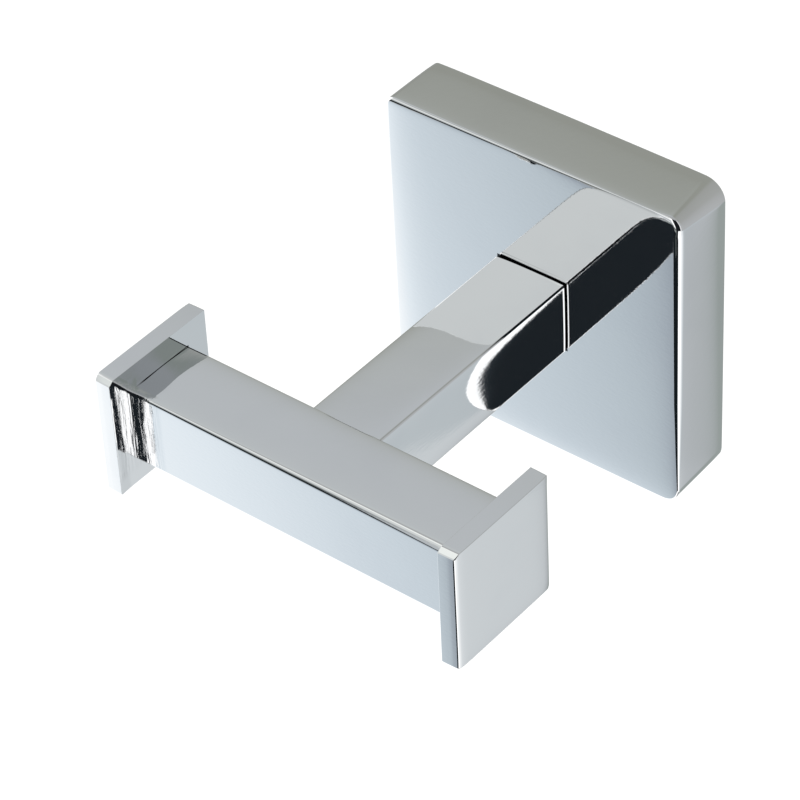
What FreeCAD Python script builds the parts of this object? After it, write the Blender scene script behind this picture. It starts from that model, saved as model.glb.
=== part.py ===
import FreeCAD, Part
import math
import os

# Square double robe hook for a wall: X runs along the crossbar, +Y points into the wall, +Z is up.
# The origin is the centre of the rosette on the wall plane. All sizes are in millimetres.

# Rosette: a hollow square cover that hides the wall bracket
plate_side = 50.0
plate_depth = 11.0
plate_wall = 1.6
plate_front = 2.0
plate_corner_r = 2.6
plate_edge_r = 0.8
plate_rim_r = 0.25
pad_r = 9.0
pad_rise = 0.6

# Arm and crossbar: square bars of one section
bar_side = 12.0
arm_length = 40.6
arm_edge_r = 0.35
arm_end_r = 0.4
cross_length = 55.6
cross_front_r = 0.8
cross_back_r = 0.3

# End plates: square caps that stand proud of the crossbar all round
end_side = 19.6
end_thick = 2.8
end_corner_r = 1.0
end_outer_r = 0.5
end_inner_break = 0.2

# Locating pegs of the soldered joints, and the square key that stops the arm turning
fit_gap = 0.03
arm_peg_r = 3.0
arm_peg_length = 4.0
end_peg_r = 2.5
end_peg_length = 2.0
peg_relief = 0.2
key_side = 7.0
key_short = 0.1
key_edge_r = 0.5

# Button-head screw that clamps the arm to the rosette, with its washer
screw_r = 2.5
screw_length = 12.0
screw_head_r = 4.75
screw_head_height = 2.75
screw_face_r = 2.6
screw_hex = 3.0
screw_hex_depth = 1.6
screw_tip = 0.5
washer_r = 5.0
washer_thick = 1.0
washer_gap = 0.12
tapped_spare = 3.0
drill_tip_angle = 118.0

# Wall bracket: folded steel strip with two slots, and a lip that hooks behind a rib in the rosette
bracket_thick = 1.6
bracket_width = 30.0
bracket_clear = 1.0
bracket_bend_r = 0.8
bracket_corner_r = 2.0
slot_r = 2.2
slot_length = 7.0
slot_spacing = 24.0
rib_from_wall = 2.4
rib_thick = 1.4
rib_height = 1.5
rib_inset = 2.0
lip_gap = 0.1
lift_gap = 0.2

# Grub screw whose cone seats in the bracket's bottom flange and locks the rosette from below
grub_r = 2.0
grub_length = 5.0
grub_recess = 1.0
grub_from_floor = 3.5
grub_hex = 2.0
grub_hex_depth = 2.0
grub_cone = 1.2
seat_r = 1.5
boss_width = 9.0
boss_rise = 2.0
boss_inset = 1.0
boss_edge_r = 1.0

# Places worked out from the sizes above
half_plate = plate_side / 2
cavity_half = half_plate - plate_wall
cavity_floor_y = -(plate_depth - plate_front)
arm_back_y = -plate_depth
arm_front_y = arm_back_y - arm_length
cross_front_y = arm_front_y - bar_side
cross_mid_y = (arm_front_y + cross_front_y) / 2
cross_half = cross_length / 2
pad_y = cavity_floor_y + pad_rise
key_back_y = pad_y - key_short
washer_back_y = pad_y + washer_thick
grub_y = cavity_floor_y + grub_from_floor
grub_low_z = -half_plate + grub_recess
grub_high_z = grub_low_z + grub_length
grub_pin_r = grub_r - fit_gap
seat_depth = seat_r - (grub_pin_r - grub_cone) - fit_gap
bracket_low_z = grub_high_z - seat_depth
bracket_reach = -cavity_floor_y - bracket_clear
flange_top_z = cavity_half - rib_height
lip_back_y = -(rib_from_wall + rib_thick + lip_gap)

os.makedirs("parts", exist_ok=True)
vec = FreeCAD.Vector
axis_x = vec(1, 0, 0)
axis_y = vec(0, 1, 0)
axis_z = vec(0, 0, 1)
tolerance = 1e-4


def block(x0, x1, y0, y1, z0, z1):
    return Part.makeBox(x1 - x0, y1 - y0, z1 - z0, vec(x0, y0, z0))


def centred_block(width, y0, y1, height):
    return block(-width / 2, width / 2, y0, y1, -height / 2, height / 2)


def edges_where(shape, test):
    """Edges whose two ends both pass the test."""
    return [e for e in shape.Edges if all(test(v.Point) for v in e.Vertexes)]


def edges_along(shape, direction, test):
    """Straight edges parallel to a direction whose middle passes the test."""
    found = []
    for edge in shape.Edges:
        run = edge.Vertexes[-1].Point - edge.Vertexes[0].Point
        if run.Length < tolerance or run.cross(direction).Length > tolerance:
            continue
        middle = (edge.Vertexes[-1].Point + edge.Vertexes[0].Point) * 0.5
        if test(middle):
            found.append(edge)
    return found


def near(a, b):
    return abs(a - b) < tolerance


def hex_prism(across_flats, height, base, direction):
    """Six-sided prism for a key socket, from its base centre along a direction."""
    radius = across_flats / 2 / math.cos(math.radians(30))
    angles = [math.radians(60 * k) for k in range(7)]
    corners = [vec(radius * math.cos(angle), radius * math.sin(angle), 0) for angle in angles]
    prism = Part.Face(Part.makePolygon(corners)).extrude(vec(0, 0, height))
    prism.Placement = FreeCAD.Placement(base, FreeCAD.Rotation(axis_z, direction))
    return prism


def slot_cutter(centre_z):
    """Upright slot through the bracket's back, round at both ends."""
    reach = slot_length / 2 - slot_r
    depth = bracket_thick * 3
    start_y = -bracket_thick * 2
    low = Part.makeCylinder(slot_r, depth, vec(0, start_y, centre_z - reach), axis_y)
    high = Part.makeCylinder(slot_r, depth, vec(0, start_y, centre_z + reach), axis_y)
    middle = block(-slot_r, slot_r, start_y, start_y + depth, centre_z - reach, centre_z + reach)
    return low.fuse([high, middle]).removeSplitter()


def make_rosette():
    body = centred_block(plate_side, -plate_depth, 0, plate_side)
    body = body.makeFillet(plate_corner_r, edges_along(body, axis_y, lambda p: True))
    body = body.makeFillet(plate_edge_r, edges_where(body, lambda p: near(p.y, -plate_depth)))
    body = body.makeFillet(plate_rim_r, edges_where(body, lambda p: near(p.y, 0)))

    cavity = centred_block(2 * cavity_half, cavity_floor_y, plate_rim_r, 2 * cavity_half)
    inner_r = plate_corner_r - plate_wall
    cavity = cavity.makeFillet(inner_r, edges_along(cavity, axis_y, lambda p: True))
    body = body.cut(cavity)

    sunk = plate_wall / 2
    pad = Part.makeCylinder(pad_r, pad_rise + sunk, vec(0, cavity_floor_y - sunk, 0), axis_y)
    boss_half = boss_width / 2
    boss_top = -cavity_half + boss_rise
    boss = block(-boss_half, boss_half, cavity_floor_y - sunk, -boss_inset, -cavity_half - sunk, boss_top)
    boss = boss.makeFillet(boss_edge_r, edges_along(boss, axis_z, lambda p: near(p.y, -boss_inset)))
    rib_half = bracket_width / 2 - rib_inset
    rib_front_y = -rib_from_wall - rib_thick
    rib = block(-rib_half, rib_half, rib_front_y, -rib_from_wall, flange_top_z, cavity_half + sunk)
    body = body.fuse([pad, boss, rib]).removeSplitter()

    key_hole = key_cutter(key_side + 2 * fit_gap, -plate_depth - plate_front, washer_back_y)
    hole_start = vec(0, grub_y, -half_plate - plate_wall)
    grub_hole = Part.makeCylinder(grub_r, plate_wall * 2 + boss_rise, hole_start, axis_z)
    return body.cut([key_hole, grub_hole]).removeSplitter()


def key_cutter(side, y0, y1):
    key = centred_block(side, y0, y1, side)
    return key.makeFillet(key_edge_r, edges_along(key, axis_y, lambda p: True))


def make_arm():
    bar = centred_block(bar_side, arm_front_y, arm_back_y, bar_side)
    bar = bar.makeFillet(arm_edge_r, edges_along(bar, axis_y, lambda p: True))
    bar = bar.makeFillet(arm_end_r, edges_where(bar, lambda p: near(p.y, arm_back_y)))
    sunk = bar_side / 2
    key = key_cutter(key_side, arm_back_y - sunk, key_back_y)
    peg_tip = vec(0, arm_front_y - arm_peg_length, 0)
    peg = Part.makeCylinder(arm_peg_r, arm_peg_length + sunk, peg_tip, axis_y)
    bar = bar.fuse([key, peg]).removeSplitter()

    hole_r = screw_r + fit_gap
    hole_end_y = washer_back_y - screw_length - tapped_spare
    hole = Part.makeCylinder(hole_r, key_back_y - hole_end_y + key_short, vec(0, hole_end_y, 0), axis_y)
    tip_depth = hole_r / math.tan(math.radians(drill_tip_angle / 2))
    tip = Part.makeCone(0, hole_r, tip_depth, vec(0, hole_end_y - tip_depth, 0), axis_y)
    return bar.cut([hole, tip]).removeSplitter()


def make_crossbar():
    bar = block(-cross_half, cross_half, cross_front_y, arm_front_y, -bar_side / 2, bar_side / 2)
    bar = bar.makeFillet(cross_front_r, edges_along(bar, axis_x, lambda p: near(p.y, cross_front_y)))
    bar = bar.makeFillet(cross_back_r, edges_along(bar, axis_x, lambda p: near(p.y, arm_front_y)))
    arm_depth = arm_peg_length + peg_relief
    arm_hole_start = vec(0, arm_front_y - arm_depth, 0)
    holes = [Part.makeCylinder(arm_peg_r + fit_gap, arm_depth, arm_hole_start, axis_y)]
    end_depth = end_peg_length + peg_relief
    for start_x in (-cross_half, cross_half - end_depth):
        start = vec(start_x, cross_mid_y, 0)
        holes.append(Part.makeCylinder(end_peg_r + fit_gap, end_depth, start, axis_x))
    return bar.cut(holes)


def make_end_plate(side):
    """End plate at the right (side = 1) or the left (side = -1) of the crossbar."""
    inner_x = side * cross_half
    outer_x = inner_x + side * end_thick
    half = end_side / 2
    x0, x1 = sorted([inner_x, outer_x])
    plate = block(x0, x1, cross_mid_y - half, cross_mid_y + half, -half, half)
    plate = plate.makeFillet(end_corner_r, edges_along(plate, axis_x, lambda p: True))
    plate = plate.makeFillet(end_outer_r, edges_where(plate, lambda p: near(p.x, outer_x)))
    plate = plate.makeChamfer(end_inner_break, edges_where(plate, lambda p: near(p.x, inner_x)))
    peg_start = vec(inner_x + side * end_thick / 2, cross_mid_y, 0)
    peg = Part.makeCylinder(end_peg_r, end_peg_length + end_thick / 2, peg_start, axis_x * -side)
    return plate.fuse(peg).removeSplitter()


def make_arm_screw():
    """Button-head screw revolved about the arm's axis, with a key socket in its head."""
    centre = vec(0, 0, 0)
    rim = vec(screw_head_r, 0, 0)
    face_edge = vec(screw_face_r, screw_head_height, 0)
    face_centre = vec(0, screw_head_height, 0)
    diagonal = math.sqrt(0.5)
    dome_x = screw_face_r + (screw_head_r - screw_face_r) * diagonal
    dome_middle = vec(dome_x, screw_head_height * diagonal, 0)
    outline = Part.Wire([
        Part.LineSegment(centre, rim).toShape(),
        Part.Arc(rim, dome_middle, face_edge).toShape(),
        Part.LineSegment(face_edge, face_centre).toShape(),
        Part.LineSegment(face_centre, centre).toShape()])
    head = Part.Face(outline).revolve(centre, axis_y, 360)
    head.translate(vec(0, washer_back_y, 0))
    tip_y = washer_back_y - screw_length
    shank = Part.makeCylinder(screw_r, screw_length + screw_head_height / 2, vec(0, tip_y, 0), axis_y)
    shank = shank.makeChamfer(screw_tip, edges_where(shank, lambda p: near(p.y, tip_y)))
    socket_floor = vec(0, washer_back_y + screw_head_height - screw_hex_depth, 0)
    socket = hex_prism(screw_hex, screw_hex_depth * 2, socket_floor, axis_y)
    return head.fuse(shank).cut(socket).removeSplitter()


def make_arm_washer():
    disc = Part.makeCylinder(washer_r, washer_thick, vec(0, pad_y, 0), axis_y)
    hole_start = vec(0, pad_y - washer_thick, 0)
    hole = Part.makeCylinder(screw_r + washer_gap, washer_thick * 3, hole_start, axis_y)
    return disc.cut(hole)


def make_wall_bracket():
    """Strip folded from one outline: the rosette's rib hangs on the top flange, behind the lip."""
    thick = bracket_thick
    lip_front_y = lip_back_y - thick
    outline = [
        (0, bracket_low_z),
        (0, flange_top_z),
        (lip_back_y, flange_top_z),
        (lip_back_y, cavity_half - lift_gap),
        (lip_front_y, cavity_half - lift_gap),
        (lip_front_y, flange_top_z - thick),
        (-thick, flange_top_z - thick),
        (-thick, bracket_low_z + thick),
        (-bracket_reach, bracket_low_z + thick),
        (-bracket_reach, bracket_low_z),
    ]
    corners = [vec(-bracket_width / 2, y, z) for y, z in outline + outline[:1]]
    strip = Part.Face(Part.makePolygon(corners)).extrude(vec(bracket_width, 0, 0))
    outer_bends = edges_along(strip, axis_x, lambda p: near(p.y, 0))
    strip = strip.makeFillet(bracket_bend_r + thick, outer_bends)
    inner_bends = edges_along(strip, axis_x, lambda p: near(p.y, -thick))
    strip = strip.makeFillet(bracket_bend_r, inner_bends)
    lip_z = flange_top_z - thick
    lip_bend = edges_along(strip, axis_x, lambda p: near(p.y, lip_front_y) and near(p.z, lip_z))
    strip = strip.makeFillet(thick, lip_bend)
    flange_corners = edges_along(strip, axis_z, lambda p: near(p.y, -bracket_reach))
    strip = strip.makeFillet(bracket_corner_r, flange_corners)
    slots = [slot_cutter(slot_spacing / 2), slot_cutter(-slot_spacing / 2)]
    seat = Part.makeCylinder(seat_r, thick * 3, vec(0, grub_y, bracket_low_z - thick), axis_z)
    return strip.cut(slots + [seat])


def make_grub_screw():
    pin = Part.makeCylinder(grub_pin_r, grub_length, vec(0, grub_y, grub_low_z), axis_z)
    pin = pin.makeChamfer(grub_cone, edges_where(pin, lambda p: near(p.z, grub_high_z)))
    socket_start = vec(0, grub_y, grub_low_z - grub_recess)
    return pin.cut(hex_prism(grub_hex, grub_hex_depth + grub_recess, socket_start, axis_z))


pieces = {
    "rosette": make_rosette(),
    "arm": make_arm(),
    "crossbar": make_crossbar(),
    "end_plate_left": make_end_plate(-1),
    "end_plate_right": make_end_plate(1),
    "arm_screw": make_arm_screw(),
    "arm_washer": make_arm_washer(),
    "wall_bracket": make_wall_bracket(),
    "grub_screw": make_grub_screw(),
}

for name, shape in pieces.items():
    solid = shape.Solids[0]
    assert len(shape.Solids) == 1 and solid.isValid(), name
    solid.exportStep(f"parts/{name}.step")
    box = solid.BoundBox
    print(f"{name}: {solid.Volume:.0f} mm3, X {box.XMin:.2f}..{box.XMax:.2f}, "
          f"Y {box.YMin:.2f}..{box.YMax:.2f}, Z {box.ZMin:.2f}..{box.ZMax:.2f}")
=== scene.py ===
import math

import bpy
import numpy as np
from mathutils import Matrix, Vector


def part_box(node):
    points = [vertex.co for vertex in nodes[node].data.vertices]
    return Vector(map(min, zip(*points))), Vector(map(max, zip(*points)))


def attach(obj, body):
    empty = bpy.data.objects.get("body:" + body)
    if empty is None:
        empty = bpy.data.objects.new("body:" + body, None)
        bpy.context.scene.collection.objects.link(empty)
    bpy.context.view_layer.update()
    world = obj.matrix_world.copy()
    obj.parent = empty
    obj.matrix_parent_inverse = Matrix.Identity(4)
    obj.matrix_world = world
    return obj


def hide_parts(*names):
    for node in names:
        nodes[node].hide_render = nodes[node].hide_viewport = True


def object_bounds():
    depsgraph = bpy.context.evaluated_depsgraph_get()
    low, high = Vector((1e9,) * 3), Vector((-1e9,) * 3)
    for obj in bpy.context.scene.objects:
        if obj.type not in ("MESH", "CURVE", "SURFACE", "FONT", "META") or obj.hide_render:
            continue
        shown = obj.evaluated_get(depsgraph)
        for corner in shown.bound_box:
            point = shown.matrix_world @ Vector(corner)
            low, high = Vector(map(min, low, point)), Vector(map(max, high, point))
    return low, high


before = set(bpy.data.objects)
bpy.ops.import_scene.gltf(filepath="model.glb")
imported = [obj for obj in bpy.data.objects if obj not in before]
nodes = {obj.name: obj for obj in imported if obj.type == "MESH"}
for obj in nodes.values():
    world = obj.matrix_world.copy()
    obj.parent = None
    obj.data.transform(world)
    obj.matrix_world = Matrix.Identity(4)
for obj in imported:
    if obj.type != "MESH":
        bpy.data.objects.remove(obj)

cadBox = [list(corner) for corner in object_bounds()]
metre = 1000.0  # shapes are worked out in millimetres, and divided by this for Blender
rosetteWall = 1.6
creaseDegrees = 40.0  # two faces that meet by more than this show a sharp edge


def boxOf(node):
    low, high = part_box(node)
    return np.array(low) * metre, np.array(high) * metre


rosetteLow, rosetteHigh = boxOf("rosette")
crossLow, crossHigh = boxOf("crossbar")
armLow, armHigh = boxOf("arm")
leftLow, leftHigh = boxOf("end_plate_left")
rightLow, rightHigh = boxOf("end_plate_right")


# Distance from the centre to a rounded square, in each direction: half / cos(angle) along a straight
# side, and the far root of the ray with the corner's circle round a corner.
def roundedSquare(angles, half, corner):
    turn = np.abs((angles + np.pi / 4) % (np.pi / 2) - np.pi / 4)
    centre = half - corner
    along = centre * (np.cos(turn) + np.sin(turn))
    arc = along + np.sqrt(np.maximum(along**2 - 2 * centre**2 + corner**2, 0))
    return np.where(half * np.tan(turn) <= centre, half / np.cos(turn), arc)


# Directions for one turn round a rounded square: points crowd towards the ends of each side by a
# cosine, and are even round each corner's arc. The corners follow the sides at 0, 90, 180 and 270 degrees.
def ringAngles(half, corners, sideSteps, arcSteps):
    share = (1 - np.cos(np.pi * np.arange(sideSteps + 1) / sideSteps)) / 2
    turn = np.pi / 2 * np.arange(1, arcSteps) / arcSteps
    quarters = []
    for k in range(4):
        start, end = corners[k - 1] - half, half - corners[k]
        side = np.arctan2(start + (end - start) * share, half)
        arc = np.arctan2(end + corners[k] * np.sin(turn), end + corners[k] * np.cos(turn))
        quarters.append(np.concatenate([side, arc]) + k * np.pi / 2)
    return np.concatenate(quarters)


# Each direction's value out of four, one for each corner.
def perCorner(angles, values):
    return np.array(values)[(np.floor(angles / (np.pi / 2)) % 4).astype(int)]


# A value for each direction, straight between (degrees, value) stops that run from -45 to 315.
def aroundRing(angles, stops):
    places, values = zip(*stops)
    return np.interp((np.degrees(angles) + 45) % 360 - 45, places, values)


# A profile's rows hold half side, place along the axis and corner radius, each once or for every direction.
def profileRow(half, along, corner):
    return np.stack(np.broadcast_arrays(half, along, corner), axis=-1).reshape(-1, 3)


# A straight stretch of a profile, from one (half, along, corner) to another: start * (1 - share) +
# end * share, with rows crowding to both ends.
def run(start, end, steps):
    share = (1 - np.cos(np.pi * np.arange(steps + 1) / steps))[:, None, None] / 2
    return profileRow(*start) * (1 - share) + profileRow(*end) * share


# A rounded stretch of a profile: half and along go round a circle, and the corner changes with half.
def bend(centre, radius, fromDegrees, toDegrees, steps):
    angle = np.radians(np.linspace(fromDegrees, toDegrees, steps + 1))[:, None]
    half, along, corner = centre
    across, up = radius * np.cos(angle), radius * np.sin(angle)
    return np.stack(np.broadcast_arrays(half + across, along + up, corner + across), axis=-1)


# Puts stretches end to end, and drops each row that only repeats the one before it.
def joinProfile(*stretches):
    columns = max(stretch.shape[1] for stretch in stretches)
    rows = np.concatenate([np.broadcast_to(stretch, (len(stretch), columns, 3)) for stretch in stretches])
    gap = np.linalg.norm(np.diff(rows, axis=0), axis=2).max(axis=1)
    return rows[np.concatenate([[True], gap > 1e-6])]


# Rings of a rounded square carried along a profile: a point is its row's place along the axis, and
# distance * (cos, sin) of its direction across it.
def ringSurface(profile, angles, axis):
    half, along, corner = np.moveaxis(profile, 2, 0)
    distance = roundedSquare(angles, half, np.clip(corner, 0.01, half))
    across = [k for k in range(3) if k != axis]
    points = np.empty(distance.shape + (3,))
    points[..., axis] = along
    points[..., across[0]] = distance * np.cos(angles)
    points[..., across[1]] = distance * np.sin(angles)
    return points


# 0 to 1 as the value goes from low to high, straight between.
def ramp(value, low, high):
    return np.clip((value - low) / (high - low), 0, 1)


# Eases a share in and out: 3 s^2 - 2 s^3.
def smooth(share):
    return share**2 * (3 - 2 * share)


# Each face sinks towards its edges as buffing leaves it, by depth * exp(-distance from the edge / reach).
# A roll is (face axis, edge axis, side of the edge, depth, reach, weights), with the weights evenly spaced
# along the third axis from low to high.
def rollEdges(points, centre, half, rolls):
    half = np.array(half)
    away = points - np.array(centre)
    scale = np.ones_like(away)
    for face, edge, side, depth, reach, weights in rolls:
        third = 3 - face - edge
        near = np.exp(-np.maximum(half[edge] - side * away[..., edge], 0) / reach)
        share = np.interp(away[..., third] / half[third], np.linspace(-1, 1, len(weights)), weights)
        scale[..., face] -= depth / half[face] * near * share
    return np.array(centre) + away * scale


# Each face has a slow wave a few thousandths of a millimetre deep: depth * (1 - sine) / 2 along each of
# the face's directions. A wave is (face axis, axis that it runs along).
def waveFaces(points, centre, half, s, side=1):
    away = points - np.array(centre)
    scale = np.ones_like(away)
    for face, along in s["waves"]:
        phase = side * s["wavePhase"] + face * 1.7 + along * 0.9
        wave = 0.5 - 0.5 * np.sin(2 * np.pi * points[..., along] / s["waveLength"] + phase)
        scale[..., face] -= s["waveDepth"] / half[face] * wave
    return np.array(centre) + away * scale


# Quads between neighbouring rows and columns. Columns always close on themselves, and rows close too or
# end in poles.
def surfaceMesh(name, points, closedRows):
    rows, columns = points.shape[:2]
    index = np.arange(rows * columns).reshape(rows, columns)
    lower = index if closedRows else index[:-1]
    upper = np.roll(index, -1, axis=0) if closedRows else index[1:]
    quads = np.stack([lower, np.roll(lower, -1, 1), np.roll(upper, -1, 1), upper], axis=-1).reshape(-1, 4)
    flat = points.reshape(-1, 3)
    if not closedRows:
        quads = quads[columns:-columns]
        poles = len(flat) + np.arange(2)
        flat = np.concatenate([flat, points[0].mean(0)[None], points[-1].mean(0)[None]])
        first = np.stack([np.full(columns, poles[0]), np.roll(index[1], -1), index[1]], axis=-1)
        last = np.stack([np.full(columns, poles[1]), index[-2], np.roll(index[-2], -1)], axis=-1)
        keep = np.concatenate([index[1:-1].ravel(), poles])
        renumber = np.zeros(len(flat), int)
        renumber[keep] = np.arange(len(keep))
        flat = flat[keep]
        faces = [*renumber[quads].tolist(), *renumber[first].tolist(), *renumber[last].tolist()]
    else:
        faces = quads.tolist()
    mesh = bpy.data.meshes.new(name)
    mesh.from_pydata(flat / metre, [], faces)
    if signedVolume(mesh) < 0:
        mesh.flip_normals()
    shadeSmooth(mesh)
    mesh.update()
    return mesh


def shadeSmooth(mesh):
    mesh.shade_smooth()
    mesh.set_sharp_from_angle(angle=math.radians(creaseDegrees))


# Sum over the triangles of a . (b x c) / 6, which is positive when the faces point outwards.
def signedVolume(mesh):
    mesh.calc_loop_triangles()
    corners = np.empty(len(mesh.loop_triangles) * 3, np.int32)
    mesh.loop_triangles.foreach_get("vertices", corners)
    places = np.empty(len(mesh.vertices) * 3)
    mesh.vertices.foreach_get("co", places)
    a, b, c = np.moveaxis(places.reshape(-1, 3)[corners.reshape(-1, 3)], 1, 0)
    return (a * np.cross(b, c)).sum() / 6


# Joins closed shapes to a closed mesh, or cuts them out of it. Each step is (what to do, the other mesh).
def combine(name, mesh, steps):
    body = bpy.data.objects.new(name, mesh)
    bpy.context.scene.collection.objects.link(body)
    tools = []
    for operation, shape in steps:
        tool = bpy.data.objects.new(shape.name, shape)
        bpy.context.scene.collection.objects.link(tool)
        modifier = body.modifiers.new(shape.name, "BOOLEAN")
        modifier.operation = operation
        modifier.solver = "EXACT"
        modifier.object = tool
        tools.append(tool)
    evaluated = body.evaluated_get(bpy.context.evaluated_depsgraph_get())
    result = bpy.data.meshes.new_from_object(evaluated)
    for used in [body, *tools]:
        old = used.data
        bpy.data.objects.remove(used)
        bpy.data.meshes.remove(old)
    result.name = name
    shadeSmooth(result)
    return result


# A closed block: rings of a rounded square of half side 1, stretched to the box between two corners.
def blockMesh(name, low, high, corner, axis):
    low, high = np.array(low), np.array(high)
    angles = ringAngles(1, (corner,) * 4, 2, 8)
    profile = joinProfile(
        run((0, -1, 0), (1, -1, corner), 1),
        run((1, -1, corner), (1, 1, corner), 1),
        run((1, 1, corner), (0, 1, 0), 1))
    points = ringSurface(profile, angles, axis)
    return surfaceMesh(name, (low + high) / 2 + points * (high - low) / 2, False)


def addPiece(name, mesh, node, material):
    piece = bpy.data.objects.new(name, mesh)
    bpy.context.scene.collection.objects.link(piece)
    mesh.materials.append(material)
    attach(piece, "root")
    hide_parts(node)
    print(name, len(mesh.polygons), "faces")


# A shader output that takes part in Python arithmetic: each operator adds its Math node.
class Socket:
    def __init__(self, shader, output):
        self.shader = shader
        self.output = output

    def __add__(self, other):
        return self.shader.math("ADD", self, other)

    def __radd__(self, other):
        return self.shader.math("ADD", other, self)

    def __sub__(self, other):
        return self.shader.math("SUBTRACT", self, other)

    def __rsub__(self, other):
        return self.shader.math("SUBTRACT", other, self)

    def __mul__(self, other):
        return self.shader.math("MULTIPLY", self, other)

    def __rmul__(self, other):
        return self.shader.math("MULTIPLY", other, self)

    def __abs__(self):
        return self.shader.math("ABSOLUTE", self)


# The node tree of a material or the world. The node method adds any node, from its type, its settings and
# the values or links of its sockets.
class Shader:
    def __init__(self, owner):
        owner.use_nodes = True
        self.tree = owner.node_tree
        self.tree.nodes.clear()

    def node(self, kind, settings=None, values=None, output=0):
        made = self.tree.nodes.new(kind)
        for name, value in (settings or {}).items():
            if name == "stops":
                self.setStops(made.color_ramp, value)
            else:
                setattr(made, name, value)
        for key, value in (values or {}).items():
            if isinstance(value, Socket):
                self.tree.links.new(value.output, made.inputs[key])
            else:
                made.inputs[key].default_value = value
        return Socket(self, made.outputs[output]) if made.outputs else None

    def setStops(self, ramp, stops):
        while len(ramp.elements) < len(stops):
            ramp.elements.new(1.0)
        for element, (place, colour) in zip(ramp.elements, stops):
            element.position = place
            element.color = (*colour, 1.0)

    def math(self, operation, *values):
        return self.node("ShaderNodeMath", {"operation": operation}, dict(enumerate(values)))

    # 0 to 1, eased, as the value goes from a fade's first end to its second, both measured from a place.
    def fade(self, value, ends, place=0.0):
        settings = {"interpolation_type": "SMOOTHSTEP"}
        values = {"Value": value, "From Min": place + ends[0], "From Max": place + ends[1]}
        return self.node("ShaderNodeMapRange", settings, values)

    def mixColours(self, share, first, second, label=""):
        settings = {"data_type": "RGBA", "label": label}
        return self.node("ShaderNodeMix", settings, {0: share, 6: first, 7: second}, 2)

    def objectPlace(self):
        return self.node("ShaderNodeTexCoord", output="Object")

    def stretch(self, place, factors):
        return self.node("ShaderNodeVectorMath", {"operation": "MULTIPLY"}, {0: place, 1: factors})

    def parts(self, place):
        return [self.node("ShaderNodeSeparateXYZ", {}, {0: place}, k) for k in range(3)]

    def noise(self, place, scale, detail=2.0):
        return self.node("ShaderNodeTexNoise", {}, {"Vector": place, "Scale": scale, "Detail": detail})

    # Ends a metal's tree. The bump's height is in millimetres.
    def metal(self, colour, roughness, height):
        normal = self.node("ShaderNodeBump", {}, {"Height": height, "Strength": 1.0, "Distance": 1 / metre})
        surface = self.node("ShaderNodeBsdfPrincipled", {}, {
            "Base Color": colour, "Metallic": 1.0, "Roughness": roughness, "Normal": normal})
        self.node("ShaderNodeOutputMaterial", {}, {"Surface": surface})

    # Ends the tree of something that only glows.
    def glow(self, colour):
        light = self.node("ShaderNodeEmission", {}, {"Color": colour, "Strength": 1.0})
        self.node("ShaderNodeOutputMaterial", {}, {"Surface": light})


# The camera's angles are in degrees, and its distance, aim and lens in millimetres.
cameraView = {
    "azimuth": 40.625,
    "elevation": 39.940,
    "roll": -3.180,
    "distance": 532.522,
    "aim": (-12.523, -25.908, -13.745),
    "lens": 169.633,
}


# The camera stands at aim + distance * back, where back points from the aim by azimuth and elevation, and
# its right and up are turned by the roll. Azimuth 0 is the front (-Y) and 90 the right (+X).
def placeCamera(view):
    camera = bpy.data.objects.new("camera", bpy.data.cameras.new("camera"))
    bpy.context.scene.collection.objects.link(camera)
    bpy.context.scene.camera = camera
    azimuth = math.radians(view["azimuth"])
    elevation = math.radians(view["elevation"])
    roll = math.radians(view["roll"])
    level = Vector((math.sin(azimuth), -math.cos(azimuth), 0))
    back = level * math.cos(elevation) + Vector((0, 0, math.sin(elevation)))
    right = Vector((0, 0, 1)).cross(back).normalized()
    up = back.cross(right)
    rolledRight = math.cos(roll) * right + math.sin(roll) * up
    rolledUp = math.cos(roll) * up - math.sin(roll) * right
    place = (Vector(view["aim"]) + view["distance"] * back) / metre
    turned = Matrix((rolledRight, rolledUp, back)).transposed().to_4x4()
    camera.matrix_world = Matrix.Translation(place) @ turned
    camera.data.lens = view["lens"]
    camera.data.clip_start = 0.01
    camera.data.clip_end = 20


placeCamera(cameraView)
bpy.context.scene.view_settings.view_transform = "Standard"


floorSettings = {
    "height": -300.0,
    "half": 3000.0,
    "colour": (0.93, 0.93, 0.93),
    "mottle": 0.01,
    "grain": 60.0,
    "roughness": 0.9,
}


def makeFloor(settings):
    reach = np.array([-1.0, 1.0]) * settings["half"] / metre
    x, y = np.meshgrid(reach, reach)
    points = np.stack([x.ravel(), y.ravel(), np.full(4, settings["height"] / metre)], axis=1)
    mesh = bpy.data.meshes.new("floor")
    mesh.from_pydata(points, [], [(0, 1, 3, 2)])
    floor = bpy.data.objects.new("floor", mesh)
    bpy.context.scene.collection.objects.link(floor)
    floor.visible_glossy = False
    paper = bpy.data.materials.new("floorPaper")
    shader = Shader(paper)
    grain = shader.noise(shader.objectPlace(), settings["grain"])
    pale = settings["colour"]
    duller = tuple(value - settings["mottle"] for value in pale)
    colour = shader.mixColours(grain, (*pale, 1.0), (*duller, 1.0))
    paperSockets = {"Base Color": colour, "Roughness": settings["roughness"]}
    surface = shader.node("ShaderNodeBsdfPrincipled", {}, paperSockets)
    shader.node("ShaderNodeOutputMaterial", {}, {"Surface": surface})
    mesh.materials.append(paper)


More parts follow.
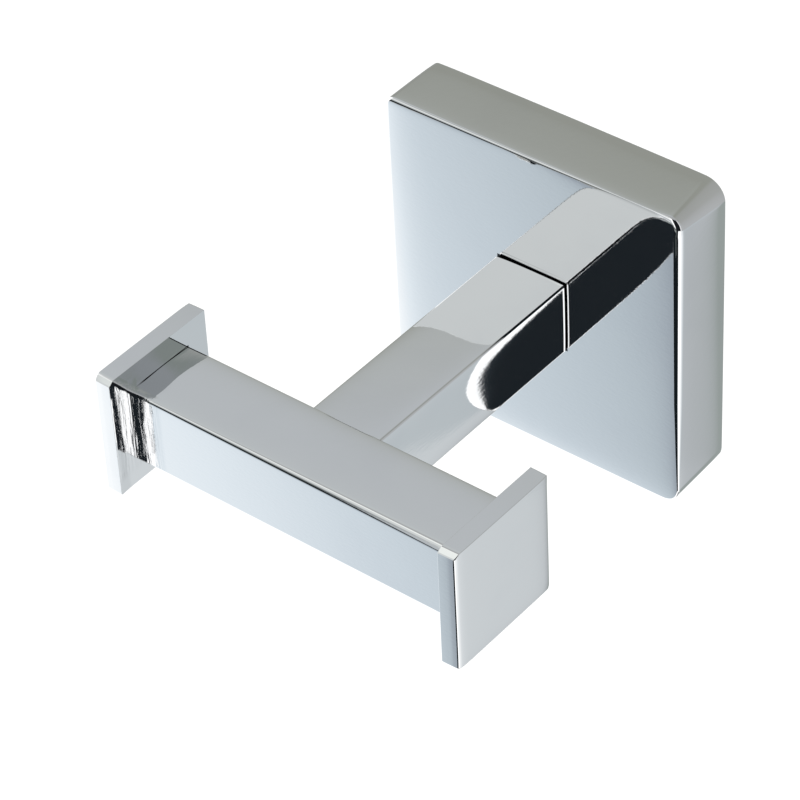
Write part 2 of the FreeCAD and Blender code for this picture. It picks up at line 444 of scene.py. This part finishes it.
# The light tent round the hook, which only the metal sees. Angles are in degrees: azimuth 0 is the front
# (-Y), 90 the right (+X), and elevation is above the horizon. A panel's place is (azimuth, elevation, half
# width, half height) and its edges fade over "soft". A graded panel runs through its stops by
# start + turn * per turn + rise * per rise.
tentSettings = {
    "radius": 1500.0,
    "rings": 49,
    "columns": 96,
    "white": (1.30, 1.30, 1.30),
    "panels": {
        "ceiling": {
            "place": (0, 80, 200, 28), "soft": (1, 12), "colour": (0.42, 0.43, 0.435)},
        "backWall": {
            "place": (165, 9, 75, 49), "soft": (16, 14), "grade": (0.48, 0.008, 0.004),
            "stops": [
                (0.10, (0.47, 0.485, 0.495)), (0.25, (0.42, 0.43, 0.43)), (0.33, (0.385, 0.395, 0.385)),
                (0.60, (0.36, 0.37, 0.355)), (0.90, (0.33, 0.34, 0.32))]},
        "topGlow": {
            "place": (-145, 42, 40, 20), "soft": (20, 12), "grade": (0.465, 0.0225, 0.05),
            "stops": [
                (0.15, (0.31, 0.32, 0.29)), (0.28, (0.36, 0.375, 0.35)), (0.40, (0.44, 0.46, 0.455)),
                (0.60, (0.495, 0.52, 0.54)), (0.90, (0.53, 0.56, 0.57))]},
        "rightLow": {
            "place": (139, -56, 50, 20), "soft": (12, 10), "grade": (0.756, 0.0222, 0.0),
            "stops": [
                (0.00, (0.95, 0.97, 0.98)), (0.33, (0.75, 0.78, 0.80)), (0.67, (0.665, 0.70, 0.72)),
                (0.78, (0.615, 0.65, 0.67)), (0.85, (0.56, 0.59, 0.61)), (0.90, (0.475, 0.50, 0.52)),
                (0.955, (0.33, 0.365, 0.355))]},
        "rightMiddle": {
            "place": (139, -35, 50, 5.8), "soft": (12, 0.8), "grade": (0.756, 0.0222, 0.0),
            "stops": [
                (0.00, (0.90, 0.93, 0.95)), (0.33, (0.64, 0.67, 0.70)), (0.67, (0.53, 0.575, 0.60)),
                (0.80, (0.50, 0.545, 0.57)), (0.878, (0.475, 0.50, 0.52)), (0.955, (0.33, 0.365, 0.355))]},
        "highRight": {
            "place": (133, 41.5, 9, 5), "soft": (5, 4), "grade": (0.1, 0.16, 0.0),
            "stops": [(0.30, (0.275, 0.294, 0.309)), (0.58, (0.235, 0.262, 0.252))]},
        "leftUp": {
            "place": (-40.5, 47, 25.5, 15), "soft": (4, 4), "grade": (0.435, -0.01, 0.0333),
            "stops": [
                (0.52, (0.68, 0.705, 0.705)), (0.64, (0.87, 0.91, 0.88)), (0.74, (0.96, 0.98, 0.95))]},
        "leftMiddle": {
            "place": (-22, -5, 16, 25), "soft": (3, 6), "colour": (0.50, 0.53, 0.55)},
        "frontGlow": {
            "place": (-62, -46, 33, 17), "soft": (3, 3), "grade": (-0.524, 0.0417, 0.018),
            "stops": [
                (0.08, (1.05, 1.08, 1.10)), (0.23, (0.93, 0.98, 1.02)), (0.33, (0.83, 0.90, 0.955)),
                (0.50, (0.64, 0.715, 0.775)), (0.67, (0.50, 0.567, 0.617)), (0.83, (0.34, 0.385, 0.435))]},
        "rail": {
            "place": (-39.75, 3.5, 11.25, 32.5), "soft": (2, 3), "grade": (0.5, 0.0, 0.0154),
            "stops": [
                (0.35, (0.012, 0.016, 0.018)), (0.51, (0.07, 0.08, 0.08)), (0.66, (0.22, 0.235, 0.235)),
                (0.81, (0.45, 0.47, 0.47)), (0.94, (0.68, 0.705, 0.705))]},
        "frontDark": {
            "place": (6.5, -33.7, 35.5, 11.9), "soft": (0.3, 1.6), "grade": (-5.6, 0.2, 0.0),
            "stops": [(0.20, (0.008, 0.011, 0.013)), (0.90, (0.020, 0.026, 0.032))]},
        "viewerDark": {
            "place": (46, 16, 36, 44), "soft": (4, 4), "colour": (0.01, 0.012, 0.014)},
        "lowDark": {
            "place": (72, -66, 29, 15), "soft": (4, 4), "colour": (0.01, 0.012, 0.014)},
    },
}


# Adds something that only the chrome sees: the camera, soft light and shadows pass it by.
def addReflected(name, mesh):
    thing = bpy.data.objects.new(name, mesh)
    bpy.context.scene.collection.objects.link(thing)
    thing.visible_camera = False
    thing.visible_diffuse = False
    thing.visible_shadow = False


def panelColour(shader, panel, turn, rise):
    if "stops" not in panel:
        return (*panel["colour"], 1.0)
    start, perTurn, perRise = panel["grade"]
    share = start + turn * perTurn + rise * perRise
    return shader.node("ShaderNodeValToRGB", {"stops": panel["stops"]}, {0: share})


# A sphere, radius * (cos up cos around, cos up sin around, sin up) from its centre. Its light depends on
# the direction only: each panel in turn is laid over what is there, by wide * high.
def makeTent(settings, centre):
    radius = settings["radius"]
    around = 2 * np.pi * np.arange(settings["columns"]) / settings["columns"]
    up = np.radians(np.linspace(-90, 90, settings["rings"]))[:, None]
    level = np.cos(up) * radius
    height = np.sin(up) * radius + 0 * around
    points = np.stack([level * np.cos(around), level * np.sin(around), height], axis=-1)
    mesh = surfaceMesh("light_tent", points + centre, False)
    addReflected("light_tent", mesh)
    cloth = bpy.data.materials.new("tentCloth")
    cloth.cycles.emission_sampling = "NONE"
    shader = Shader(cloth)
    middle = {0: shader.objectPlace(), 1: tuple(centre / metre)}
    away = shader.node("ShaderNodeVectorMath", {"operation": "SUBTRACT"}, middle)
    away = shader.node("ShaderNodeVectorMath", {"operation": "NORMALIZE"}, {0: away})
    x, y, z = shader.parts(away)
    azimuth = shader.math("ARCTAN2", x, 0 - y) * (180 / math.pi)
    elevation = shader.math("ARCSINE", z) * (180 / math.pi)
    colour = (*settings["white"], 1.0)
    for name, panel in settings["panels"].items():
        panelTurn, panelRise, halfWidth, halfHeight = panel["place"]
        softWide, softHigh = (soft / 2 for soft in panel["soft"])
        turn = shader.math("WRAP", azimuth - panelTurn, 180.0, -180.0)
        wide = shader.fade(abs(turn), (softWide, -softWide), halfWidth)
        rise = elevation - panelRise
        high = shader.fade(abs(rise), (softHigh, -softHigh), halfHeight)
        colour = shader.mixColours(wide * high, colour, panelColour(shader, panel, turn, rise), name)
    shader.glow(colour)
    mesh.materials.append(cloth)


# A black card between the hook and the tent, in front and to the right. Its near edge is where the arm's
# black ends. Its edges are (x, y) places, and it reaches from one height to the other.
flagSettings = {
    "nearEdge": (340.6, -401.6),
    "farEdge": (258.9, -475.2),
    "heights": (-540.0, -230.0),
    "colour": (0.013, 0.017, 0.021),
    "nap": (0.015, 0.019, 0.023),
    "napScale": 40.0,
}


def makeFlag(settings):
    near, far = settings["nearEdge"], settings["farEdge"]
    low, high = settings["heights"]
    corners = np.array([(*near, low), (*far, low), (*far, high), (*near, high)])
    mesh = bpy.data.meshes.new("black_flag")
    mesh.from_pydata(corners / metre, [], [(0, 1, 2, 3)])
    addReflected("black_flag", mesh)
    felt = bpy.data.materials.new("flagFelt")
    shader = Shader(felt)
    nap = shader.noise(shader.objectPlace(), settings["napScale"])
    shader.glow(shader.mixColours(nap, (*settings["colour"], 1.0), (*settings["nap"], 1.0)))
    mesh.materials.append(felt)


def makeWorld():
    world = bpy.data.worlds.new("studio")
    bpy.context.scene.world = world
    shader = Shader(world)
    sky = shader.node("ShaderNodeBackground", {}, {"Color": (1.0, 1.0, 1.0, 1.0), "Strength": 1.0})
    shader.node("ShaderNodeOutputWorld", {}, {"Surface": sky})
    world.cycles_visibility.glossy = False


# The lamp's place and size are in metres, and its power in watts.
lampSettings = {"place": (-0.25, -0.15, 0.9), "size": 0.8, "power": 4.0}


def makeLamp(settings):
    lamp = bpy.data.lights.new("soft_lamp", "AREA")
    lamp.size = settings["size"]
    lamp.energy = settings["power"]
    holder = bpy.data.objects.new("soft_lamp", lamp)
    bpy.context.scene.collection.objects.link(holder)
    holder.location = settings["place"]
    holder.rotation_euler = (-Vector(settings["place"])).to_track_quat("-Z", "Y").to_euler()
    holder.visible_glossy = False


makeFloor(floorSettings)
makeTent(tentSettings, (np.array(cadBox[0]) + np.array(cadBox[1])) / 2 * metre)
makeFlag(flagSettings)
makeWorld()
makeLamp(lampSettings)
print("studio ready")


# The chrome's places are in millimetres. A pair is a fade: where a mask is 0 and where it is 1, measured
# from the edge or face that the code names. A crevice is where two parts meet; its dark is painted shade.
chromeSettings = {
    "colour": (0.90, 0.905, 0.91),
    "duller": (0.875, 0.88, 0.89),
    "roughness": 0.02,
    "hazy": 0.045,
    "hazeScale": 0.07,
    "hazeFade": (0.45, 0.75),
    # painted shade: the near-black colour mixed into the chrome in its crevices
    "creviceShadeColour": (0.03, 0.032, 0.035),
    "gapAcross": (-0.22, -0.28),
    "gapFront": (-0.9, -0.8),
    "footAcross": (0.03, -0.02),
    "footFront": (-0.02, 0.0),
    "gapBack": (0.3, 0.2),
    "seamWidth": (0.09, 0.06),
    "seamFront": (1.0, 3.5),
    "seamBack": (0.05, 0.0),
    "lineFront": (-0.31, -0.28),
    "lineBack": (0.05, 0.02),
    "lineLow": (-0.3, -0.2),
    "lineEnd": (3.6, 3.3),
    "cavityAcross": (0.3, 0.1),
    "cavityFront": (0.9, 1.2),
    "cavityColour": (0.50, 0.51, 0.52),
    "cavityRoughness": 0.38,
    "grainDepth": 0.002,
    "grainScale": (1.2, 0.6, 3.0),
    "streakDepth": 0.045,
    "streakScale": (1.3, 1.3, 0.15),
    "streakEnd": (5.5, 3.2),
    "streakStart": (0.5, 1.5),
    "streakBack": (1.5, 0.5),
    "streakFront": (0.05, 0.3),
    "streakBelow": (2.0, 0.2),
}


# The masks of the shade painted into the chrome's crevices: the gap between arm and rosette with the
# rosette's face in it, the corner where the crossbar's top meets an end plate, and a line along the
# crossbar's back edge at its left end. Each mask is a product of fades in x, y and z.
def paintedCreviceShade(shader, ring, x, y, z, s):
    armBack = rosetteLow[1]
    barHalf = armHigh[0]
    gap = shader.fade(ring, s["gapAcross"], barHalf) * shader.fade(y, s["gapFront"], armBack)
    foot = shader.fade(ring, s["footAcross"], barHalf) * shader.fade(y, s["footFront"], armBack)
    neck = shader.math("MAXIMUM", gap, foot) * shader.fade(y, s["gapBack"], armBack)
    aboveBar = z - crossHigh[2]
    pastBar = abs(x) - crossHigh[0]
    seam = shader.fade(abs(aboveBar), s["seamWidth"]) * shader.fade(abs(pastBar), s["seamWidth"])
    seam = seam * shader.fade(y, s["seamFront"], crossLow[1]) * shader.fade(y, s["seamBack"], crossHigh[1])
    line = shader.fade(y, s["lineFront"], crossHigh[1]) * shader.fade(y, s["lineBack"], crossHigh[1])
    line = line * shader.fade(aboveBar, s["lineLow"]) * shader.fade(aboveBar, s["lineBack"])
    line = line * shader.fade(x, s["lineEnd"], crossLow[0])
    return shader.math("MAXIMUM", neck, shader.math("MAXIMUM", seam, line))


# Upright polishing marks on the crossbar's front at its left end: a noise stretched along z, times fades.
def endStreaks(shader, place, x, y, z, s):
    streak = shader.node("ShaderNodeTexNoise", {}, {
        "Vector": shader.stretch(place, s["streakScale"]),
        "Scale": 1.0, "Detail": 5.0, "Roughness": 0.5, "Distortion": 0.4})
    share = shader.fade(x, s["streakEnd"], crossLow[0]) * shader.fade(x, s["streakStart"], leftLow[0])
    share = share * shader.fade(y, s["streakBack"], crossLow[1])
    share = share * shader.fade(y, s["streakFront"], leftLow[1])
    share = share * shader.fade(abs(z), s["streakBelow"], crossHigh[2])
    return streak * share * s["streakDepth"]


# Bright metal with a faint haze and grain, with painted shade in its crevices, and dull in the rosette's
# cavity.
def polishedChrome(s):
    material = bpy.data.materials.new("polished_chrome")
    shader = Shader(material)
    place = shader.stretch(shader.objectPlace(), (metre, metre, metre))
    x, y, z = shader.parts(place)
    ring = shader.math("MAXIMUM", abs(x), abs(z))  # half side of the upright square that a point lies on
    haze = shader.fade(shader.noise(place, s["hazeScale"], 4.0), s["hazeFade"])
    colour = shader.mixColours(haze, (*s["colour"], 1.0), (*s["duller"], 1.0))
    # Painted shade: the crevices' mask mixes a near-black colour into the base colour.
    colour = shader.mixColours(paintedCreviceShade(shader, ring, x, y, z, s), colour, (*s["creviceShadeColour"], 1.0))
    innerHalf = rosetteHigh[0] - rosetteWall
    cavity = shader.fade(ring, s["cavityAcross"], innerHalf)
    cavity = cavity * shader.fade(y, s["cavityFront"], rosetteLow[1])
    colour = shader.mixColours(cavity, colour, (*s["cavityColour"], 1.0))
    roughness = s["roughness"] + haze * (s["hazy"] - s["roughness"]) + cavity * s["cavityRoughness"]
    grain = shader.noise(shader.stretch(place, s["grainScale"]), 1.0, 3.0) * s["grainDepth"]
    shader.metal(colour, roughness, grain + endStreaks(shader, place, x, y, z, s))
    return material


# Hidden parts: steel with fine turned lines round the arm's axis, and zinc-plated sheet with faint upright
# lines. Stretch is the lines' scale along x, y and z per metre, and depth is in millimetres.
steelSettings = {
    "colour": (0.60, 0.61, 0.62),
    "duller": (0.44, 0.45, 0.46),
    "roughness": (0.22, 0.36),
    "stretch": (900.0, 5000.0, 900.0),
    "patchScale": 220.0,
    "patchFade": (0.35, 0.65),
    "depth": 0.004,
}
zincSettings = {
    "colour": (0.66, 0.68, 0.70),
    "duller": (0.50, 0.52, 0.55),
    "roughness": (0.26, 0.44),
    "stretch": (2600.0, 400.0, 160.0),
    "patchScale": 220.0,
    "patchFade": (0.35, 0.65),
    "depth": 0.006,
}


def plainMetal(name, s):
    material = bpy.data.materials.new(name)
    shader = Shader(material)
    place = shader.objectPlace()
    lines = shader.noise(shader.stretch(place, s["stretch"]), 1.0, 4.0)
    patches = shader.noise(place, s["patchScale"], 3.0)
    share = shader.fade(patches + (lines - 0.5) * 0.5, s["patchFade"])
    colour = shader.mixColours(share, (*s["colour"], 1.0), (*s["duller"], 1.0))
    low, high = s["roughness"]
    shader.metal(colour, low + share * (high - low), lines * s["depth"])
    return material


chrome = polishedChrome(chromeSettings)
steel = plainMetal("screw_steel", steelSettings)
zinc = plainMetal("zinc_plate", zincSettings)
hiddenParts = {"arm_screw": steel, "grub_screw": steel, "arm_washer": zinc, "wall_bracket": zinc}
for name, material in hiddenParts.items():
    for slot in nodes[name].material_slots:
        slot.material = material
print("materials ready")


# Round the rosette's front edge, 0 degrees is the right side, 90 the top, 180 the left and 270 the bottom.
# The boss, the rib and the grub screw's hole are (low corner, high corner, rounding), and their rounding is
# 0 for square and 1 for round.
rosetteSettings = {
    "front": 2.0,
    "frontCorners": (1.9, 1.0, 1.9, 2.6),
    "backCorners": (3.2, 1.0, 2.2, 3.3),
    "innerCorner": 0.6,
    "frontEdge": [
        (-45, 0.20), (-33, 0.50), (-16, 0.80), (20, 0.95), (42, 1.05), (50, 0.15), (56, 0.10),
        (68, 0.25), (82, 0.36), (130, 0.40), (140, 0.40), (220, 0.40), (230, 0.20), (315, 0.20)],
    "rim": 0.25,
    "padRadius": 9.0,
    "padRise": 0.6,
    "keyHalf": 3.53,
    "keyCorner": 0.5,
    "boss": ((-4.5, -9.8, -24.2), (4.5, -1.0, -21.4), 0.22),
    "rib": ((-21.4, -3.8, 21.9), (21.4, -2.4, 24.2), 0.02),
    "grubHole": ((-2.0, -7.5, -26.0), (2.0, -3.5, -20.6), 1.0),
    "padMargin": 0.2,
    "sideMargin": 0.3,
    "rolls": [
        (1, 0, -1, 0.15, 2.6, (1.4, 0.7)), (1, 0, 1, 0.07, 2.5, (1, 1)),
        (1, 0, 1, -0.03, 0.4, (-0.8, 1.2)), (1, 2, 1, 0.12, 1.2, (0, 0, 1)),
        (1, 2, 1, 0.10, 0.3, (1.2, 0.2, 0.3)), (1, 2, -1, 0.09, 2.2, (0.6, 1)),
        (2, 0, -1, 0.04, 2.0, (1, 1)), (2, 0, 1, 0.10, 2.5, (1, 1)),
        (2, 1, 1, 0.05, 0.8, (1, 1)), (2, 1, -1, 0.02, 0.8, (1, 1)),
        (0, 2, 1, 0.10, 2.5, (1, 1)), (0, 2, -1, 0.05, 1.5, (1, 1)),
        (0, 1, 1, 0.10, 1.5, (0.5, 1.4)), (0, 1, -1, 0.02, 0.8, (1, 1)),
    ],
    "waves": [(1, 0), (1, 2), (0, 2), (2, 0)],
    "waveDepth": 0.004,
    "waveLength": 38.0,
    "wavePhase": 0.6,
    "sideSteps": 56,
    "arcSteps": 24,
}


# The cover's shell is one band of rings that closes on itself: out across the front face, round its edge,
# back along the sides, round the rim, into the cavity, over the pad and through the arm's key hole. The
# boss and the rib are joined to it, and the grub screw's hole is cut.
def makeRosette(s):
    half = rosetteHigh[0]
    front = rosetteLow[1]
    inner = half - rosetteWall
    floor = front + s["front"]
    pad = floor + s["padRise"]
    rim = half - s["rim"]
    angles = ringAngles(half, s["backCorners"], s["sideSteps"], s["arcSteps"])
    edge = aroundRing(angles, s["frontEdge"])
    frontCorner = perCorner(angles, s["frontCorners"])
    backCorner = perCorner(angles, s["backCorners"])
    innerCorner = np.maximum(frontCorner - rosetteWall, s["innerCorner"])
    face, faceCorner = half - edge, frontCorner - edge
    profile = joinProfile(
        run((s["keyHalf"], front, s["keyCorner"]), (face, front, faceCorner), 70),
        bend((face, front + edge, faceCorner), edge, -90, 0, 12),
        run((half, front + edge, frontCorner), (half, -s["rim"], backCorner), 34),
        bend((rim, -s["rim"], backCorner - s["rim"]), s["rim"], 0, 90, 5),
        run((rim, 0, backCorner - s["rim"]), (inner, 0, innerCorner), 2),
        run((inner, 0, innerCorner), (inner, floor, innerCorner), 10),
        run((inner, floor, innerCorner), (s["padRadius"], floor, s["padRadius"]), 12),
        run((s["padRadius"], floor, s["padRadius"]), (s["padRadius"], pad, s["padRadius"]), 1),
        run((s["padRadius"], pad, s["padRadius"]), (s["keyHalf"], pad, s["keyCorner"]), 6),
        run((s["keyHalf"], pad, s["keyCorner"]), (s["keyHalf"], front, s["keyCorner"]), 3))
    points = ringSurface(profile[:-1], angles, 1)
    centre = (0, front / 2, 0)
    size = (half, -front / 2, half)
    ring = np.maximum(np.abs(points[..., 0]), np.abs(points[..., 2]))
    shown = (points[..., 1] < pad - s["padMargin"]) | (ring > inner + s["sideMargin"])
    rolled = rollEdges(points, centre, size, s["rolls"])
    rolled = waveFaces(rolled, centre, size, s)
    rolled[~shown] = points[~shown]
    return combine("rosette_shell", surfaceMesh("shell", rolled, True), [
        ("UNION", blockMesh("boss", *s["boss"], 2)),
        ("UNION", blockMesh("rib", *s["rib"], 0)),
        ("DIFFERENCE", blockMesh("grub_hole", *s["grubHole"], 2))])


armSettings = {
    "edge": 0.3,
    "end": 0.2,
    "lip": 0.03,
    "lipLength": 0.28,
    "lipGap": 0.05,
    "neck": 0.24,
    "neckInset": 0.35,
    "wedge": 0.14,
    "wedgeAcross": (-0.2, 1.0),
    "wedgeReach": (2.0, 0.3),
    "front": 0.25,
    "coreMargin": 0.1,
    "keyHalf": 3.5,
    "keyCorner": 0.5,
    "pegRadius": 3.0,
    "holeRadius": 2.53,
    "holeEnd": 21.4,
    "tip": 1.5,
    "rolls": [
        (0, 2, 1, 0.13, 1.1, (1.3, 0.7)), (0, 2, -1, 0.11, 1.4, (0.1, 0.9, 0.6)),
        (2, 0, 1, 0.11, 1.2, (1, 1)), (2, 0, -1, 0.13, 1.8, (1, 1)),
    ],
    "waves": [(0, 1), (2, 1), (0, 2), (2, 0)],
    "waveDepth": 0.003,
    "waveLength": 27.0,
    "wavePhase": 2.1,
    "sideSteps": 36,
    "arcSteps": 10,
}


# The bar is one closed run of rings: from the bottom of its screw hole out over the key, round the gap at
# the rosette (darkened by painted shade in the chrome), along the four sides and over the front to the
# peg's tip. The gap opens towards the left, by wedge * leftward^2 * nearness to the rosette.
def makeArm(s):
    half = armHigh[0]
    back = rosetteLow[1]
    key = armHigh[1]
    front = crossHigh[1] - s["front"]
    tip = armLow[1]
    neck = half - s["neckInset"]
    endFace = back - s["neck"]
    endHalf = half - s["end"]
    lipBack = endFace - s["end"] - s["lipGap"]
    lipHalf = half - s["lip"]
    hole = s["holeRadius"]
    profile = joinProfile(
        run((0, -s["holeEnd"] - s["tip"], 0), (hole, -s["holeEnd"], hole), 2),
        run((hole, -s["holeEnd"], hole), (hole, key, hole), 8),
        run((hole, key, hole), (s["keyHalf"], key, s["keyCorner"]), 2),
        run((s["keyHalf"], key, s["keyCorner"]), (s["keyHalf"], back, s["keyCorner"]), 3),
        run((s["keyHalf"], back, s["keyCorner"]), (neck, back, 0.1), 3),
        run((neck, back, 0.1), (neck, endFace, 0.1), 1),
        run((neck, endFace, 0.1), (endHalf, endFace, s["edge"] - s["end"]), 2),
        bend((endHalf, endFace - s["end"], s["edge"] - s["end"]), s["end"], 90, 0, 8),
        run((half, lipBack, s["edge"]), (lipHalf, lipBack - s["lipLength"], s["edge"]), 4),
        run((lipHalf, lipBack - s["lipLength"], s["edge"]), (lipHalf, front, s["edge"]), 90),
        run((half, front, s["edge"]), (s["pegRadius"], front, s["pegRadius"]), 4),
        run((s["pegRadius"], front, s["pegRadius"]), (s["pegRadius"], tip, s["pegRadius"]), 3),
        run((s["pegRadius"], tip, s["pegRadius"]), (0, tip, 0), 2))
    angles = ringAngles(half, (s["edge"],) * 4, s["sideSteps"], s["arcSteps"])
    points = ringSurface(profile, angles, 1)
    shown = np.maximum(np.abs(points[..., 0]), np.abs(points[..., 2])) > endHalf - s["coreMargin"]
    far, near = s["wedgeReach"]
    leftward = ramp(-points[..., 0] / half, *s["wedgeAcross"])
    nearness = ramp(points[..., 1], endFace - far, endFace - near)
    middle = (0, (back + front) / 2, 0)
    size = (half, (back - front) / 2, half)
    rolled = rollEdges(points, middle, size, s["rolls"])
    rolled = waveFaces(rolled, middle, size, s)
    rolled[..., 1] -= s["wedge"] * leftward**2 * nearness
    rolled[~shown] = points[~shown]
    return surfaceMesh("arm_bar", rolled, False)


# Hand polishing leaves the crossbar's front face a little proud beside the left end plate, and a ripple in
# its top face there. A pair of front edges is (left end, right end).
crossSettings = {
    "frontEdge": (0.3, 1.0),
    "lowEdge": 0.3,
    "backEdge": 0.15,
    "endCorner": 0.3,
    "pegRadius": 2.53,
    "pegDepth": 2.2,
    "coreMargin": 1.2,
    "rolls": [(1, 2, 1, 0.015, 0.4, (1, 1)), (2, 1, -1, 0.05, 1.0, (1, 1)), (2, 1, 1, 0.05, 1.0, (1, 1))],
    "waves": [(1, 0), (2, 0), (1, 2), (2, 1)],
    "swell": 0.12,
    "swellStart": -0.8,
    "swellReach": (2.5, -0.08),
    "rippleDepth": 0.07,
    "rippleLength": 9.0,
    "rippleReach": (4.0, 0.5),
    "waveDepth": 0.003,
    "waveLength": 31.0,
    "wavePhase": 0.3,
    "sideSteps": 36,
    "arcSteps": 12,
}


# Rings from one end's peg hole to the other's. The edge over the front grows along the bar, the front face
# swells by swell * (1 - eased distance from the left end), and the top face sinks by a sine of y there.
def makeCrossbar(s):
    barHalf = crossHigh[2]
    middleY = (crossLow[1] + crossHigh[1]) / 2
    left, right = crossLow[0], crossHigh[0]
    peg = s["pegRadius"]
    profile = joinProfile(
        run((0, left + s["pegDepth"], 0), (peg, left + s["pegDepth"], peg), 1),
        run((peg, left + s["pegDepth"], peg), (peg, left, peg), 2),
        run((peg, left, peg), (barHalf, left, s["endCorner"]), 3),
        run((barHalf, left, s["endCorner"]), (barHalf, right, s["endCorner"]), 150),
        run((barHalf, right, s["endCorner"]), (peg, right, peg), 3),
        run((peg, right, peg), (peg, right - s["pegDepth"], peg), 2),
        run((peg, right - s["pegDepth"], peg), (0, right - s["pegDepth"], 0), 1))
    corners = (s["backEdge"], max(s["frontEdge"]), s["lowEdge"], s["backEdge"])
    angles = ringAngles(barHalf, corners, s["sideSteps"], s["arcSteps"])
    profile = np.repeat(profile, len(angles), axis=1)
    edge = np.broadcast_to(perCorner(angles, corners), profile.shape[:2]).copy()
    topFront = perCorner(angles, (False, True, False, False))
    edge[:, topFront] = np.interp(profile[:, topFront, 1], [left, right], s["frontEdge"])
    profile[..., 2] = np.where(profile[..., 0] > barHalf - 1e-6, edge, profile[..., 2])
    points = ringSurface(profile, angles, 0)
    shown = np.maximum(np.abs(points[..., 1]), np.abs(points[..., 2])) > barHalf - s["coreMargin"]
    size = (right, barHalf, barHalf)
    rolled = rollEdges(points, (0, 0, 0), size, s["rolls"])
    rolled = waveFaces(rolled, (0, 0, 0), size, s)
    fromEnd = points[..., 0] - left
    reach, lean = s["swellReach"]
    swell = s["swell"] * (1 - smooth(ramp(fromEnd, s["swellStart"], reach + lean * points[..., 2])))
    rolled[..., 1] -= swell * ramp(-points[..., 1], 0, barHalf) ** 4
    ripple = s["rippleDepth"] * (0.5 - 0.5 * np.sin(2 * np.pi * points[..., 1] / s["rippleLength"] + 1.0))
    rolled[..., 2] -= ripple * ramp(fromEnd, *s["rippleReach"]) * ramp(points[..., 2], 0, barHalf) ** 4
    rolled[~shown] = points[~shown]
    return surfaceMesh("crossbar_bar", rolled + np.array([0, middleY, 0]), False)


# Round an end plate, 0 degrees is the back, 90 the top, 180 the front and 270 the bottom. The face rolls
# are on the outer face only, and the front roll turns the narrow front strip.
endSettings = {
    "corners": (0.15, 0.15, 0.15, 0.7),
    "outerEdge": [
        (-45, 0.25), (40, 0.25), (50, 0.08), (130, 0.08),
        (140, 0.15), (225, 0.15), (235, 0.12), (315, 0.12)],
    "innerEdge": 0.03,
    "chamfer": 0.6,
    "chamferTurn": 57.0,
    "pegRadius": 2.5,
    "pegLength": 2.0,
    "faceRolls": [
        (0, 1, -1, 0.36, 0.35, (1, 1)), (0, 1, -1, 0.04, 1.5, (1, 1)),
        (0, 1, 1, 0.09, 1.0, (1, 1)), (0, 2, -1, 0.03, 1.0, (1, 1))],
    "rim": 0.06,
    "rimStart": (2.45, 0.075),
    "frontRoll": (0.13, 2.5),
    "waves": [(0, 1), (0, 2)],
    "waveDepth": 0.002,
    "waveLength": 23.0,
    "wavePhase": 0.8,
    "sideSteps": 50,
    "arcSteps": 12,
}


# Rings from the middle of the outer face over its edges and back along the inner face to the peg. What
# lies past the chamfer's line, z sin(turn) - y cos(turn) = limit, is pulled in to it along its own
# direction. The inner face sinks by rim * distance past the line where its front margin starts.
def makeEndPlate(name, side, low, high, s):
    half = high[2]
    middleY = (low[1] + high[1]) / 2
    inner = crossHigh[0]
    outer = high[0] if side > 0 else -low[0]
    tip = inner - s["pegLength"]
    peg = s["pegRadius"]
    lip = s["innerEdge"]
    angles = ringAngles(half, s["corners"], s["sideSteps"], s["arcSteps"])
    corner = perCorner(angles, s["corners"])
    edge = aroundRing(angles, s["outerEdge"])
    profile = joinProfile(
        run((0, outer, 0), (half - edge, outer, corner - edge), 30),
        bend((half - edge, outer - edge, corner - edge), edge, 90, 0, 10),
        run((half, outer - edge, corner), (half, inner + lip, corner), 14),
        bend((half - lip, inner + lip, corner - lip), lip, 0, -90, 4),
        run((half - lip, inner, corner - lip), (peg, inner, peg), 40),
        run((peg, inner, peg), (peg, tip, peg), 2),
        run((peg, tip, peg), (0, tip, 0), 1))
    profile[..., 1] *= side
    points = ringSurface(profile, angles, 0)
    turn = math.radians(s["chamferTurn"])
    sine, cosine = math.sin(turn), math.cos(turn)
    limit = profile[..., 0] * (cosine + sine) - s["chamfer"] * sine
    over = points[..., 2] * sine - points[..., 1] * cosine
    cut = np.where(profile[..., 0] > peg + 1, np.minimum(limit / np.maximum(over, 1e-6), 1), 1)
    points[..., 1:] *= np.where(over > 0, cut, 1)[..., None]
    centre = (side * (inner + outer) / 2, 0, 0)
    size = ((outer - inner) / 2, half, half)
    shown = np.abs(points[..., 0]) > inner - 1e-6
    rolled = rollEdges(points, centre, size, [(1, 0, side, *s["frontRoll"], (1, 1))])
    outside = side * points[..., 0] > (inner + outer) / 2
    rolled[outside] = rollEdges(rolled, centre, size, s["faceRolls"])[outside]
    start, lean = s["rimStart"]
    rim = s["rim"] * np.maximum(-points[..., 1] - crossHigh[2] - start - lean * points[..., 2], 0)
    rolled[..., 0] -= side * np.where(outside, 0, rim)
    rolled = waveFaces(rolled, centre, size, s, side)
    rolled[~shown] = points[~shown]
    return surfaceMesh(name, rolled + np.array([0, middleY, 0]), False)


addPiece("rosette_shell", makeRosette(rosetteSettings), "rosette", chrome)
addPiece("arm_bar", makeArm(armSettings), "arm", chrome)
addPiece("crossbar_bar", makeCrossbar(crossSettings), "crossbar", chrome)
leftMesh = makeEndPlate("end_plate_left_cap", -1, leftLow, leftHigh, endSettings)
addPiece("end_plate_left_cap", leftMesh, "end_plate_left", chrome)
rightMesh = makeEndPlate("end_plate_right_cap", 1, rightLow, rightHigh, endSettings)
addPiece("end_plate_right_cap", rightMesh, "end_plate_right", chrome)
print("pieces ready")
